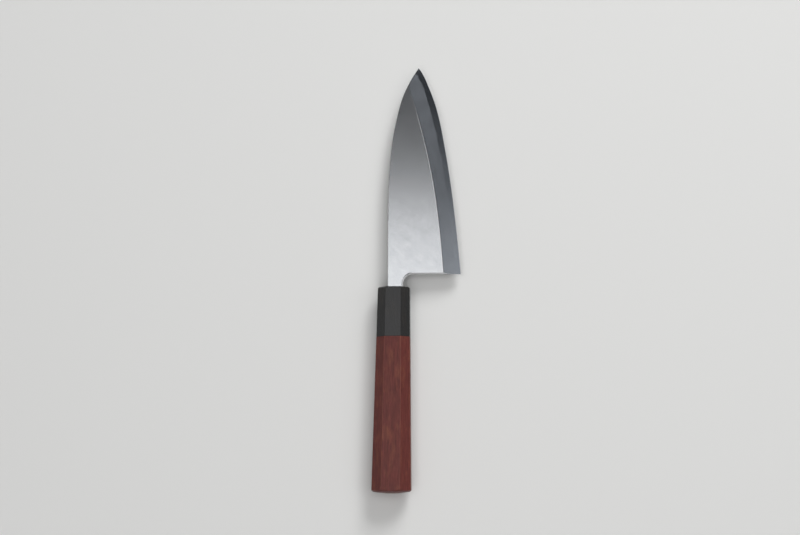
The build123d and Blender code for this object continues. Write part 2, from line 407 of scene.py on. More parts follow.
# %% Turned form of the butt
HANDLE_SIZES["Butt Crown"] = 1.2 * MM
BUTT_CHAMFER_ANGLE = math.radians(35)
CROWN_SHARE = 0.94
TURNED_SIDES = 96
CROWN_STEPS = 8
FIRST_DOME_ROW = 3
CUTTER_OVERRUN = 5 * MM


def turned_butt(tree, sizes):
    """A crowned and chamfered form, flattened to the handle's section, that reaches far forward."""
    half = calc(tree, "DIVIDE", sizes["Butt Height"], 2)
    outer = calc(tree, "ADD", half, CUTTER_OVERRUN)
    crown_radius = calc(tree, "MULTIPLY", half, CROWN_SHARE)
    squash = calc(tree, "DIVIDE", sizes["Butt Thickness"], sizes["Butt Height"])
    chamfer_rise = calc(tree, "MULTIPLY_ADD", calc(tree, "SUBTRACT", outer, crown_radius),
                        math.tan(BUTT_CHAMFER_ANGLE), sizes["Butt Crown"])
    far = calc(tree, "ADD", sizes["Length"], CUTTER_OVERRUN)
    squares = calc(tree, "ADD", calc(tree, "POWER", crown_radius, 2),
                   calc(tree, "POWER", sizes["Butt Crown"], 2))
    dome = calc(tree, "DIVIDE", calc(tree, "DIVIDE", squares, 2), sizes["Butt Crown"])

    def place(around, row):
        """A point of the turned form: far end, straight wall, chamfer and dome, in that order."""
        turn = calc(tree, "MULTIPLY", around, 2 * math.pi / TURNED_SIDES)
        on_dome = calc(tree, "GREATER_THAN", row, FIRST_DOME_ROW - 0.5)
        inwards = calc(tree, "DIVIDE", calc(tree, "SUBTRACT", row, FIRST_DOME_ROW), CROWN_STEPS)
        dome_radius = calc(tree, "MULTIPLY", crown_radius, calc(tree, "SUBTRACT", 1, inwards))
        dome_side = calc(tree, "SUBTRACT", calc(tree, "POWER", dome, 2), calc(tree, "POWER", dome_radius, 2))
        dome_rise = calc(tree, "SUBTRACT", dome, calc(tree, "SQRT", dome_side))
        radius = mixed(tree, on_dome, choose(tree, row, [0, outer, outer]), dome_radius)
        rise = mixed(tree, on_dome, choose(tree, row, [far, far, chamfer_rise]), dome_rise)
        x = calc(tree, "SUBTRACT", calc(tree, "MULTIPLY", radius, calc(tree, "COSINE", turn)), sizes["Lean"])
        z = calc(tree, "MULTIPLY", calc(tree, "MULTIPLY", radius, calc(tree, "SINE", turn)), squash)
        y = calc(tree, "SUBTRACT", rise, sizes["Length"])
        return add_node(tree, "ShaderNodeCombineXYZ", {0: x, 1: y, 2: z}).outputs[0]

    return bent_grid(tree, TURNED_SIDES, FIRST_DOME_ROW + CROWN_STEPS + 1, place)


print("the crown rises", HANDLE_SIZES["Butt Crown"] / MM, "mm")

# %% [markdown]
# ## Bore and slot
# Inside, the handle is bored for the dowel that joins its two parts, and slotted for the tang. None
# of it shows, but a piece that is hollow where the real one is can be taken apart on screen. The
# bore is a plain cylinder, tilted with the handle. The slot is a cube whose eight corners are
# moved, because it tapers.

# %% Bore and slot
HANDLE_SIZES.update({"Bore Radius": 6.05 * MM, "Bore Front": 4.0 * MM, "Bore Back": 57.0 * MM,
                     "Slot Depth": 95.0 * MM, "Slot Mouth": (7.7 * MM, 0, 5.3 * MM),
                     "Slot End": (5.7 * MM, 0, 3.7 * MM)})
BORE_SIDES = 48
SLOT_OVERRUN = 1.0 * MM
HALF_CUBE = 0.5
QUARTER_TURN = math.radians(90)


def bore(tree, sizes):
    """A round bar along the leaning centre line, where the dowel sits."""
    length = calc(tree, "SUBTRACT", sizes["Bore Back"], sizes["Bore Front"])
    bar = add_node(tree, "GeometryNodeMeshCylinder", {"Vertices": BORE_SIDES, "Radius": sizes["Bore Radius"],
                                                      "Depth": length}).outputs["Mesh"]
    centre = calc(tree, "DIVIDE", calc(tree, "ADD", sizes["Bore Front"], sizes["Bore Back"]), 2)
    slope = calc(tree, "DIVIDE", sizes["Lean"], sizes["Length"])
    tilt = calc(tree, "MULTIPLY", calc(tree, "ARCTANGENT", slope), -1)
    angles = add_node(tree, "ShaderNodeCombineXYZ", {0: QUARTER_TURN, 2: tilt}).outputs[0]
    rotation = add_node(tree, "FunctionNodeEulerToRotation", {0: angles}).outputs[0]
    aside = calc(tree, "MULTIPLY", calc(tree, "MULTIPLY", centre, slope), -1)
    back = calc(tree, "MULTIPLY", centre, -1)
    place = add_node(tree, "ShaderNodeCombineXYZ", {0: aside, 1: back}).outputs[0]
    return add_node(tree, "GeometryNodeTransform", {"Geometry": bar, "Rotation": rotation,
                                                    "Translation": place}).outputs[0]


def slot(tree, sizes):
    """A tapered bar from just before the mouth to the end of the resin."""
    cube = add_node(tree, "GeometryNodeMeshCube", {"Size": (1, 1, 1)}).outputs["Mesh"]
    position = add_node(tree, "GeometryNodeInputPosition").outputs[0]
    corner = add_node(tree, "ShaderNodeSeparateXYZ", {0: position}).outputs
    depth = mixed(tree, calc(tree, "ADD", corner["Y"], HALF_CUBE), sizes["Slot Depth"], -SLOT_OVERRUN)
    share = calc(tree, "DIVIDE", depth, sizes["Slot Depth"])
    mouth_sizes = add_node(tree, "ShaderNodeSeparateXYZ", {0: sizes["Slot Mouth"]}).outputs
    end_sizes = add_node(tree, "ShaderNodeSeparateXYZ", {0: sizes["Slot End"]}).outputs
    x, z = (calc(tree, "MULTIPLY", corner[axis], mixed(tree, share, mouth_sizes[axis], end_sizes[axis]))
            for axis in "XZ")
    aside = calc(tree, "DIVIDE", calc(tree, "MULTIPLY", depth, sizes["Lean"]), sizes["Length"])
    moved = add_node(tree, "ShaderNodeCombineXYZ", {0: calc(tree, "SUBTRACT", x, aside),
                                                    1: calc(tree, "MULTIPLY", depth, -1), 2: z}).outputs[0]
    return add_node(tree, "GeometryNodeSetPosition", {"Geometry": cube, "Position": moved}).outputs[0]


print("bore", round((HANDLE_SIZES["Bore Back"] - HANDLE_SIZES["Bore Front"]) / MM, 1), "mm long, slot",
      round(HANDLE_SIZES["Slot Depth"] / MM, 1), "mm deep")

# %% [markdown]
# ## The whole tree
# Now the pieces of the tree are put together: the bent bar is crossed with the turned butt, the
# bore and the slot are cut out, and the result moves to the mouth's place. Faces that meet at more
# than a small angle keep a sharp edge, and the eased corners stay smooth.

# %% The whole tree
SHARP_ANGLE = math.radians(20)
LENGTH_INPUTS = ("Front", "Back", "Front Rim", "Back Rim")


def finished(tree, mesh, material):
    """Smooth faces between sharp corners, with one material."""
    smooth = add_node(tree, "GeometryNodeSetShadeSmooth", {"Geometry": mesh, "Shade Smooth": True})
    angle = add_node(tree, "GeometryNodeInputMeshEdgeAngle").outputs["Unsigned Angle"]
    corner = add_node(tree, "FunctionNodeCompare", {"A": angle, "B": SHARP_ANGLE},
                      data_type="FLOAT", operation="GREATER_THAN").outputs[0]
    sharp = add_node(tree, "GeometryNodeSetShadeSmooth", {"Geometry": smooth.outputs[0], "Selection": corner,
                                                          "Shade Smooth": False}, domain="EDGE")
    real = add_node(tree, "GeometryNodeRealizeInstances", {"Geometry": sharp.outputs[0]})
    return add_node(tree, "GeometryNodeSetMaterial", {"Geometry": real.outputs[0],
                                                      "Material": material}).outputs[0]


def handle_tree():
    """The tree for a length of the handle, with a named input for each of its sizes."""
    tree = bpy.data.node_groups.new("eight_sided_handle", "GeometryNodeTree")
    for name in (*LENGTH_INPUTS, *HANDLE_SIZES):
        kind = "NodeSocketVector" if isinstance(HANDLE_SIZES.get(name), tuple) else "NodeSocketFloat"
        tree.interface.new_socket(name=name, in_out="INPUT", socket_type=kind)
    tree.interface.new_socket(name="Mouth Centre", in_out="INPUT", socket_type="NodeSocketVector")
    tree.interface.new_socket(name="Material", in_out="INPUT", socket_type="NodeSocketMaterial")
    tree.interface.new_socket(name="Geometry", in_out="OUTPUT", socket_type="NodeSocketGeometry")
    sizes = add_node(tree, "NodeGroupInput").outputs
    bar = bent_grid(tree, CORNERS * (CORNER_STEPS + 1), ROWS,
                    lambda around, row: handle_place(tree, sizes, around, row))
    crowned = boolean(tree, "INTERSECT", bar, [turned_butt(tree, sizes)])
    hollow = boolean(tree, "DIFFERENCE", crowned, [bore(tree, sizes), slot(tree, sizes)])
    placed = add_node(tree, "GeometryNodeTransform", {"Geometry": hollow,
                                                      "Translation": sizes["Mouth Centre"]}).outputs[0]
    add_node(tree, "NodeGroupOutput", {"Geometry": finished(tree, placed, sizes["Material"])})
    return tree


handle = handle_tree()
print("nodes in the handle's tree:", len(handle.nodes))

# %% [markdown]
# A tree is a recipe, and a modifier cooks it. The modifier takes its sizes by each socket's
# identifier, the result is copied into a plain mesh, and the modifier is taken off. The new piece
# is then measured against its solid: its open edges are counted, and how far its box lies from the solid's.

# %% Making a piece from a tree
def run_tree(name, tree, values):
    """Run a tree once and keep its result as a plain mesh."""
    piece = bpy.data.objects.new(name, bpy.data.meshes.new(name))
    bpy.context.collection.objects.link(piece)
    modifier = piece.modifiers.new("form", "NODES")
    modifier.node_group = tree
    for socket in tree.interface.items_tree:
        if socket.in_out == "INPUT":
            modifier[socket.identifier] = values[socket.name]
    even = piece.modifiers.new("even shading", "WEIGHTED_NORMAL")
    even.keep_sharp = True
    depsgraph = bpy.context.evaluated_depsgraph_get()
    mesh = bpy.data.meshes.new_from_object(piece.evaluated_get(depsgraph))
    piece.modifiers.clear()
    piece.data = mesh
    return piece


def compare_with_solid(piece, node):
    """Print how closed the piece is and how far its box is from the solid's."""
    form = bmesh.new()
    form.from_mesh(piece.data)
    open_edges = sum(1 for edge in form.edges if len(edge.link_faces) != 2)
    volume = form.calc_volume(signed=True)
    form.free()
    corners = np.array([vertex.co for vertex in piece.data.vertices])
    low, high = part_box(node)
    apart = max(abs(corners.min(axis=0) - low).max(), abs(corners.max(axis=0) - high).max())
    print(f"{piece.name}: {len(piece.data.polygons)} faces, {open_edges} open edges, "
          f"{volume / MM ** 3:.0f} mm3, box within {apart / MM:.3f} mm of the solid's")


named_inputs = [socket.name for socket in handle.interface.items_tree if socket.in_out == "INPUT"]
print("the tree has", len(named_inputs), "named inputs:", named_inputs)

# %% [markdown]
# ## Patterns without pictures
# Wood, horn and ground metal all have grain: features that are long one way and fine the other.
# A picture wrapped round the knife would stretch at every facet. A noise that is read in the
# object's own coordinates runs straight through the piece instead, so the grain of a facet meets
# that of its neighbour as in a solid block. A Mapping node gives the features their real size.

# %% Helpers for patterns
def pattern_place(tree, size, slant=0.0):
    """Object coordinates for a pattern whose features have this size across, along and up."""
    coordinates = add_node(tree, "ShaderNodeTexCoord").outputs["Object"]
    placing = {"Vector": coordinates, "Rotation": (0, 0, slant), "Scale": size}
    return add_node(tree, "ShaderNodeMapping", placing, vector_type="TEXTURE").outputs[0]


def lengthwise(across, along):
    """The size of a feature that runs along the handle."""
    return (across, along, across)


def noise(tree, place, detail=3.0, roughness=0.5):
    """A soft random value between 0 and 1."""
    return add_node(tree, "ShaderNodeTexNoise", {"Vector": place, "Scale": 1.0, "Detail": detail,
                                                 "Roughness": roughness}).outputs[0]


def new_material(name):
    """A new material: itself, its tree and its shader."""
    material = bpy.data.materials.new(name)
    material.use_nodes = True
    return material, material.node_tree, material.node_tree.nodes["Principled BSDF"]


def set_shader(tree, shader, values):
    """Give the shader its constants and its links."""
    for name, value in values.items():
        fill_socket(tree, shader.inputs[name], value)


def relief(tree, height, depth):
    """A surface normal for a relief of the given depth."""
    return add_node(tree, "ShaderNodeBump", {"Height": height, "Distance": depth, "Strength": 1.0}).outputs[0]


print("patterns are read in object coordinates, in metres")

# %% [markdown]
# ## Rosewood
# The wood is reddish brown, with orange-brown patches, darker growth lines and fine dark pores
# that run along the handle. Growth rings are tubes round the heart of the tree, so the same rings
# draw lines on the facets and arcs on the butt. A colour that depends on the distance from that
# heart gives both at once.

# %% Growth rings
HEART = (38 * MM, 0, -52 * MM)
RING_SPACING = 2.3 * MM
RING_WANDER = 6 * MM
RING_WAVES = lengthwise(9 * MM, 55 * MM)
RING_MIDDLE, LATE_WOOD_REACH = 0.5, 0.10


def growth_lines(tree):
    """1 in the dark late wood of each ring and 0 between the rings."""
    coordinates = add_node(tree, "ShaderNodeTexCoord").outputs["Object"]
    place = add_node(tree, "ShaderNodeSeparateXYZ", {0: coordinates}).outputs
    across = calc(tree, "SUBTRACT", place["X"], HEART[0])
    up = calc(tree, "SUBTRACT", place["Z"], HEART[2])
    squares = calc(tree, "ADD", calc(tree, "POWER", across, 2), calc(tree, "POWER", up, 2))
    wander = noise(tree, pattern_place(tree, RING_WAVES), detail=2.0)
    radius = calc(tree, "MULTIPLY_ADD", wander, RING_WANDER, calc(tree, "SQRT", squares))
    ring = calc(tree, "FRACT", calc(tree, "DIVIDE", radius, RING_SPACING))
    from_middle = calc(tree, "ABSOLUTE", calc(tree, "SUBTRACT", ring, RING_MIDDLE))
    return remap(tree, from_middle, LATE_WOOD_REACH, RING_MIDDLE, 1.0, 0.0)


print("one growth ring every", RING_SPACING / MM, "mm")

# %% [markdown]
# The eased corners get a painted highlight: a lighter colour that stands in for the light they
# catch, and shows as thin pale lines between the facets. A corner is known by its
# surface: it faces between two of the eight ways that the facets face.

# %% Painted highlight on the eased corners
EASED_TURN = (math.radians(4), math.radians(12))
SIDE_FACING = (0.15, 0.30)


def corner_highlight(tree):
    """1 on the eased corners, which get a painted highlight, and 0 on the facets and the butt."""
    normal = add_node(tree, "ShaderNodeTexCoord").outputs["Normal"]
    facing = add_node(tree, "ShaderNodeSeparateXYZ", {0: normal}).outputs
    turn = calc(tree, "ARCTAN2", facing["Z"], facing["X"])
    off_facet = calc(tree, "PINGPONG", turn, EIGHTH / 2)
    eased = remap(tree, off_facet, *EASED_TURN)
    on_side = remap(tree, calc(tree, "ABSOLUTE", facing["Y"]), *SIDE_FACING, 1.0, 0.0)
    return calc(tree, "MULTIPLY", eased, on_side)


print("a facet every", round(math.degrees(EIGHTH)), "degrees")

# %% [markdown]
# The colours are laid over each other as a stain is: red-brown over the deep ground, orange-brown
# in patches, the rings, the pores and last a painted highlight on the eased corners. Pores are pits
# as well, so the same noise makes them dark, rough and a little sunk.

# %% Rosewood material
DEEP_RED_BROWN = (0.080, 0.014, 0.011, 1)
RED_BROWN = (0.160, 0.033, 0.026, 1)
ORANGE_BROWN = (0.230, 0.066, 0.034, 1)
PORE_BROWN = (0.045, 0.011, 0.008, 1)
CORNER_HIGHLIGHT_BROWN = (0.36, 0.155, 0.105, 1)
STREAK_SIZE = lengthwise(0.7 * MM, 8 * MM)
PATCH_SIZE = lengthwise(4 * MM, 12 * MM)
PORE_SIZE = lengthwise(0.3 * MM, 4 * MM)
WOOD_NOISE = {"detail": 5.0, "roughness": 0.65}
STREAKS_SHOW, PATCHES_SHOW, PORES_SHOW = (0.30, 0.68), (0.50, 0.82), (0.36, 0.28)
RINGS_BETWEEN, RING_STRENGTHS = (0.35, 0.60), (0.55, 0.15)
PORE_STRENGTH, CORNER_HIGHLIGHT_STRENGTH = 0.75, 0.5
PORE_ROUGHNESS, STREAK_HEIGHT = 0.4, 0.3
WOOD_GLOSS_BETWEEN, WOOD_ROUGHNESSES = (0.3, 1.0), (0.36, 0.58)
PORE_DEPTH = 0.03 * MM
WOOD_IOR = 1.34


def rosewood():
    """Oiled rosewood: rings round the heart, patches, streaks and pores."""
    material, tree, shader = new_material("oiled_rosewood")
    streaks = noise(tree, pattern_place(tree, STREAK_SIZE), **WOOD_NOISE)
    patches = noise(tree, pattern_place(tree, PATCH_SIZE), **WOOD_NOISE)
    pores = remap(tree, noise(tree, pattern_place(tree, PORE_SIZE), detail=2.0), *PORES_SHOW)

    tone = blend(tree, remap(tree, streaks, *STREAKS_SHOW), DEEP_RED_BROWN, RED_BROWN)
    tone = blend(tree, remap(tree, patches, *PATCHES_SHOW), tone, ORANGE_BROWN)
    ring_strength = remap(tree, streaks, *RINGS_BETWEEN, *RING_STRENGTHS)
    tone = blend(tree, calc(tree, "MULTIPLY", growth_lines(tree), ring_strength), tone, DEEP_RED_BROWN)
    tone = blend(tree, calc(tree, "MULTIPLY", pores, PORE_STRENGTH), tone, PORE_BROWN)
    # painted highlight: the eased corners are coloured lighter, as if they caught the light
    colour = blend(tree, calc(tree, "MULTIPLY", corner_highlight(tree), CORNER_HIGHLIGHT_STRENGTH), tone, CORNER_HIGHLIGHT_BROWN)

    rough = calc(tree, "MULTIPLY_ADD", pores, PORE_ROUGHNESS, streaks)
    roughness = remap(tree, rough, *WOOD_GLOSS_BETWEEN, *WOOD_ROUGHNESSES)
    height = calc(tree, "MULTIPLY_ADD", pores, -1.0, calc(tree, "MULTIPLY", streaks, STREAK_HEIGHT))
    set_shader(tree, shader, {"Base Color": colour, "Roughness": roughness, "IOR": WOOD_IOR,
                              "Normal": relief(tree, height, PORE_DEPTH)})
    print(material.name, "has", len(tree.nodes), "nodes")
    return material


oiled_rosewood = rosewood()

# %% [markdown]
# ## Black horn
# Buffalo horn is made of fine fibres that run along it. Polished, it is almost black, with faint
# brown clouds, and its flat facets mirror the light softly. A plain black would look like plastic,
# so the fibres change the gloss a little as well as the colour.

# %% Horn material
HORN_BLACK = (0.005, 0.005, 0.006, 1)
HORN_GREY = (0.012, 0.011, 0.010, 1)
HORN_BROWN = (0.022, 0.017, 0.013, 1)
FIBRE_SIZE = lengthwise(0.6 * MM, 20 * MM)
CLOUD_SIZE = lengthwise(5 * MM, 14 * MM)
FIBRES_SHOW, CLOUDS_SHOW, CLOUD_STRENGTH = (0.45, 0.75), (0.52, 0.75), 0.5
HORN_GLOSS_BETWEEN, HORN_ROUGHNESSES = (0.3, 0.7), (0.20, 0.30)
FIBRE_DEPTH = 0.004 * MM
HORN_IOR = 1.42


def black_horn():
    """Polished buffalo horn with faint lengthwise fibres."""
    material, tree, shader = new_material("polished_black_horn")
    fibres = noise(tree, pattern_place(tree, FIBRE_SIZE), detail=4.0, roughness=0.6)
    clouds = noise(tree, pattern_place(tree, CLOUD_SIZE), detail=2.0)
    tone = blend(tree, remap(tree, fibres, *FIBRES_SHOW), HORN_BLACK, HORN_GREY)
    colour = blend(tree, remap(tree, clouds, *CLOUDS_SHOW, 0.0, CLOUD_STRENGTH), tone, HORN_BROWN)
    roughness = remap(tree, fibres, *HORN_GLOSS_BETWEEN, *HORN_ROUGHNESSES)
    set_shader(tree, shader, {"Base Color": colour, "Roughness": roughness, "IOR": HORN_IOR,
                              "Normal": relief(tree, fibres, FIBRE_DEPTH)})
    print(material.name, "has", len(tree.nodes), "nodes")
    return material


polished_horn = black_horn()

# %% [markdown]
# ## Ferrule and wooden body
# Now both lengths of the handle can be made. Each takes the place of its solid and rides on the
# one body of the knife. The wooden body's bar runs past the butt, because the turned form cuts
# its end.

# %% Ferrule and wooden body
RIM_CHAMFER = 0.7 * MM
JOINT_EASING = 0.12 * MM


def handle_piece(name, node, material, front, back, front_rim, back_rim):
    """A length of the handle between two depths behind the mouth, in the place of its solid."""
    lengths = dict(zip(LENGTH_INPUTS, (front, back, front_rim, back_rim)))
    values = {**HANDLE_SIZES, **lengths, "Mouth Centre": tuple(mouth), "Material": material}
    piece = run_tree(name, handle, values)
    compare_with_solid(piece, node)
    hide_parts(node)
    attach(piece, "root")


handle_piece("horn_ferrule", "ferrule", polished_horn,
             0.0, FERRULE_LENGTH, RIM_CHAMFER, JOINT_EASING)
handle_piece("rosewood_body", "handle_body", oiled_rosewood,
             FERRULE_LENGTH, HANDLE_SIZES["Length"] + CUTTER_OVERRUN / 2, JOINT_EASING, 0.0)

# %% [markdown]
# ## Dowel and resin
# Two pieces stay hidden until the handle is taken apart. The dowel is plain pale magnolia wood, and
# the resin round the tang is amber and a little cloudy. Their solids already have the right shape,
# so they only need a material each.

# %% Dowel and resin
PALE_WOOD_DARK, PALE_WOOD_LIGHT = (0.52, 0.40, 0.25, 1), (0.68, 0.56, 0.39, 1)
AMBER_DARK, AMBER_LIGHT = (0.22, 0.10, 0.03, 1), (0.34, 0.17, 0.06, 1)
PALE_GRAIN = lengthwise(0.5 * MM, 9 * MM)
RESIN_CLOUDS = lengthwise(2.5 * MM, 2.5 * MM)
HIDDEN_RELIEF = 0.02 * MM
HIDDEN_SHADES = (0.35, 0.65)
PALE_WOOD_ROUGHNESS, RESIN_ROUGHNESS = 0.7, 0.3


def dress_solid(node, name, pattern, dark, light, roughness):
    """Give a solid a material that varies between two colours, and keep its slot."""
    material, tree, shader = new_material(name)
    shade = noise(tree, pattern_place(tree, pattern), detail=4.0, roughness=0.6)
    set_shader(tree, shader, {"Base Color": blend(tree, remap(tree, shade, *HIDDEN_SHADES), dark, light),
                              "Roughness": roughness, "Normal": relief(tree, shade, HIDDEN_RELIEF)})
    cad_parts[node].data.materials[0] = material
    print(node, "wears", material.name)


dress_solid("handle_dowel", "pale_magnolia", PALE_GRAIN, PALE_WOOD_DARK, PALE_WOOD_LIGHT,
            PALE_WOOD_ROUGHNESS)
dress_solid("tang_adhesive", "amber_resin", RESIN_CLOUDS, AMBER_DARK, AMBER_LIGHT, RESIN_ROUGHNESS)

# %% [markdown]
# ## The lines of the blade
# The blade is soft iron with a thin layer of hard steel welded to its back. Grinding the wide bevel
# cuts through both, so the steel shows as a band along the edge. The finish follows three lines: the
# ridge where the bevel starts, the weld line where the steel shows, and the edge. They could be
# typed in again, but the solids already hold them, and a line that is measured stays true when a
# size changes. So straight looks down from above find what lies on top at any place.

# %% Look down on the solids
solids = {}
for node in ("blade_iron", "edge_steel"):
    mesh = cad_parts[node].data
    places = [vertex.co.copy() for vertex in mesh.vertices]
    solids[node] = BVHTree.FromPolygons(places, [tuple(face.vertices) for face in mesh.polygons])

blade_low, blade_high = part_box("edge_steel")
back_z, tip_y = blade_low[2], blade_high[1]
top_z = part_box("blade_iron")[1][2]


def seen_from_above(x, y):
    """The solid on top at a place, and the way its surface faces there."""
    found = (None, None, back_z - MM)
    for node, solid in solids.items():
        place, facing, face, distance = solid.ray_cast(Vector((x, y, top_z + MM)), Vector((0, 0, -1)))
        if place is not None and place.z > found[2]:
            found = (node, facing, place.z)
    return found[:2]


print("blade from", round(blade_low[1] / MM, 1), "to", round(tip_y / MM, 1), "mm along the knife")

# %% [markdown]
# Each line is then found at a row of places from heel to tip. A test tells one side of the line
# from the other, and halving the distance between a place before it and a place past it closes in
# on the line. Just at the heel the rounded edge of the notch would spoil the first place, so that
# one is carried on from the next two.

# %% Measure the lines
LINE_PLACES = 28
HALVINGS = 22
HEEL_FROM_MOUTH = 9.0 * MM
SPINE_ROUNDING = 0.6 * MM
SPINE_REACH_SHARE = 0.43
FIRST_SHARE, LAST_SHARE = 0.002, 0.999
RIDGE_TURN = math.radians(1.5)
WELL_INSIDE = (10 * MM, 20 * MM)


def crossing(y, low, high, passed):
    """Where a line crosses the blade: below it the test fails, and past it the test holds."""
    if passed(*seen_from_above(low, y)):
        return low
    for _ in range(HALVINGS):
        middle = (low + high) / 2
        if passed(*seen_from_above(middle, y)):
            high = middle
        else:
            low = middle
    return high


heel_y = mouth.y + HEEL_FROM_MOUTH
flat_facing = seen_from_above(blade_low[0] + WELL_INSIDE[0], heel_y + WELL_INSIDE[1])[1]
line_tests = {
    "ridge": lambda node, facing: node is None or facing.angle(flat_facing) > RIDGE_TURN,
    "weld": lambda node, facing: node != "blade_iron",
    "edge": lambda node, facing: node is None,
}
lines = {name: [] for name in line_tests}
for number in range(LINE_PLACES):
    share = min(max(number / (LINE_PLACES - 1), FIRST_SHARE), LAST_SHARE)
    y = heel_y + (tip_y - heel_y) * share
    spine = crossing(y, blade_low[0] - MM, blade_low[0] + SPINE_REACH_SHARE * (blade_high[0] - blade_low[0]),
                     lambda node, facing: node is not None)
    for name, passed in line_tests.items():
        lines[name].append(crossing(y, spine + SPINE_ROUNDING, blade_high[0] + MM, passed))
for name, values in lines.items():
    values[0] = 2 * values[1] - values[2]
    print(name, [round(value / MM, 1) for value in values[::3]])

# %% [markdown]
# Float Curve nodes carry the measured lines into the material. A point of the surface looks up
# where the line lies at its place along the blade, and the difference says on which side of the
# line it is and how far away. Every mask of the finish is made from such a distance.

# %% Lines inside a material
def line_curve(tree, share, values):
    """A measured line as a Float Curve: its place across the blade for a place along it."""
    low, high = min(values), max(values)
    curve = add_node(tree, "ShaderNodeFloatCurve", {"Value": share})
    points = curve.mapping.curves[0].points
    last = len(values) - 1
    for number, value in enumerate(values):
        place = (number / last, (value - low) / (high - low))
        if number in (0, last):
            points[0 if number == 0 else -1].location = place
        else:
            points.new(*place)
    curve.mapping.update()
    return calc(tree, "MULTIPLY_ADD", curve.outputs[0], high - low, low)


def blade_zones(tree):
    """Distances from the blade's lines, and the way the surface faces, at any point."""
    coordinates = add_node(tree, "ShaderNodeTexCoord").outputs
    place = add_node(tree, "ShaderNodeSeparateXYZ", {0: coordinates["Object"]}).outputs
    facing = add_node(tree, "ShaderNodeSeparateXYZ", {0: coordinates["Normal"]}).outputs
    share = remap(tree, place["Y"], heel_y, tip_y)
    zones = {"x": place["X"], "y": place["Y"], "z": place["Z"], "up": facing["Z"], "share": share}
    for name in lines:
        zones[name] = calc(tree, "SUBTRACT", place["X"], line_curve(tree, share, lines[name]))
    return zones


def step_up(tree, value, place, softness):
    """A mask that turns from 0 to 1 where a value passes a place."""
    return remap(tree, value, place - softness / 2, place + softness / 2)


def both(tree, *masks):
    """A mask that is 1 only where all the masks are."""
    result = masks[0]
    for mask in masks[1:]:
        result = calc(tree, "MULTIPLY", result, mask)
    return result


def opposite(tree, mask):
    """A mask turned round."""
    return calc(tree, "SUBTRACT", 1, mask)


print("lines measured at", LINE_PLACES, "places:", list(lines))

# %% [markdown]
# ## Ground iron and honed steel
# The upper face is satin from the grinding belt, with soft clouds and faint slanting lines. The
# bevel is finished on stones, which leave the soft iron misty and the hard steel smoother, and the
# steel's colour is painted darker towards the tip as shade. The notch and the rim round the hollow
# back are polished, and the rounded edges get a painted highlight. Each finish is a pair of colours
# and a pair of roughnesses, and a pattern moves between them.

# %% Metal finishes
SATIN_IRON = {"dark": (0.405, 0.415, 0.43, 1), "light": (0.44, 0.45, 0.464, 1), "gloss": (0.17, 0.20)}
MISTY_IRON = {"dark": (0.29, 0.312, 0.343, 1), "light": (0.34, 0.363, 0.395, 1), "gloss": (0.22, 0.27)}
MISTY_STEEL = {"dark": (0.28, 0.302, 0.333, 1), "light": (0.32, 0.343, 0.375, 1), "gloss": (0.20, 0.25)}
MIRROR_STEEL_PAINTED_DARK = {"dark": (0.17, 0.184, 0.205, 1), "light": (0.21, 0.226, 0.248, 1), "gloss": (0.15, 0.20)}
POLISHED = {"dark": (0.58, 0.59, 0.60, 1), "light": (0.74, 0.74, 0.75, 1), "gloss": (0.14, 0.22)}
BLADE_HIGHLIGHT_PAINT = {"dark": (0.66, 0.67, 0.68, 1), "light": (0.78, 0.78, 0.79, 1), "gloss": (0.34, 0.42)}
GRIND_SLANT, BEVEL_SLANT = math.radians(52), math.radians(8)
METAL_PATTERNS = {
    "clouds": {"size": (6 * MM, 8 * MM, 6 * MM), "slant": GRIND_SLANT, "detail": 3.0, "roughness": 0.6},
    "grind": {"size": (0.4 * MM, 7 * MM, 1 * MM), "slant": GRIND_SLANT, "detail": 3.0, "roughness": 0.65},
    "strokes": {"size": (0.5 * MM, 22 * MM, 1 * MM), "slant": BEVEL_SLANT, "detail": 3.0, "roughness": 0.6},
    "mist": {"size": (3 * MM, 7 * MM, 3 * MM), "slant": BEVEL_SLANT, "detail": 4.0, "roughness": 0.6},
}


def metal_patterns(tree):
    """Clouds and grinding lines of the flat, strokes and mist of the bevel."""
    return {name: noise(tree, pattern_place(tree, pattern["size"], pattern["slant"]),
                        pattern["detail"], pattern["roughness"])
            for name, pattern in METAL_PATTERNS.items()}


def finish(tree, kind, shade):
    """The colour and roughness of a kind of metal, where a pattern gives the shade."""
    smooth, rough = kind["gloss"]
    return {"Base Color": blend(tree, shade, kind["dark"], kind["light"]),
            "Roughness": remap(tree, shade, 0, 1, rough, smooth)}


def laid_over(tree, below, above, mask):
    """One finish over another where the mask is 1."""
    return {"Base Color": blend(tree, mask, below["Base Color"], above["Base Color"]),
            "Roughness": mixed(tree, mask, below["Roughness"], above["Roughness"])}


print("grinding lines slant by", round(math.degrees(GRIND_SLANT)), "degrees, strokes of the stone by",
      round(math.degrees(BEVEL_SLANT)))

# %% [markdown]
# The weld between iron and steel isn't a ruled line: it wanders, as the hammer left it, and its
# rim is a little frayed. Two noises, a long one and a short one, push the measured line to and
# fro. Towards the tip the stone has laid more steel bare, so the band widens, and at the very tip
# the grinding has reached the steel from both sides, so the band closes there.

# %% Steel that shows on the bevel
WELD_WANDER, WELD_FRAY = 1.3 * MM, 0.25 * MM
WANDER_SIZE, FRAY_SIZE = (30 * MM, 11 * MM, 1), (6 * MM, 2.2 * MM, 1)
WELD_SOFTNESS, TIP_SOFTNESS = 0.3 * MM, 0.8 * MM
TIP_SLOPE = 0.5
TIP_STEEL = 4.9 * MM
TIP_WIDENING, WIDENS_FROM, WIDENS_TO = 1.2 * MM, 0.5, 0.8
SHADE_AND_POLISH_FROM, SHADE_AND_POLISH_TO = 0.50, 0.86


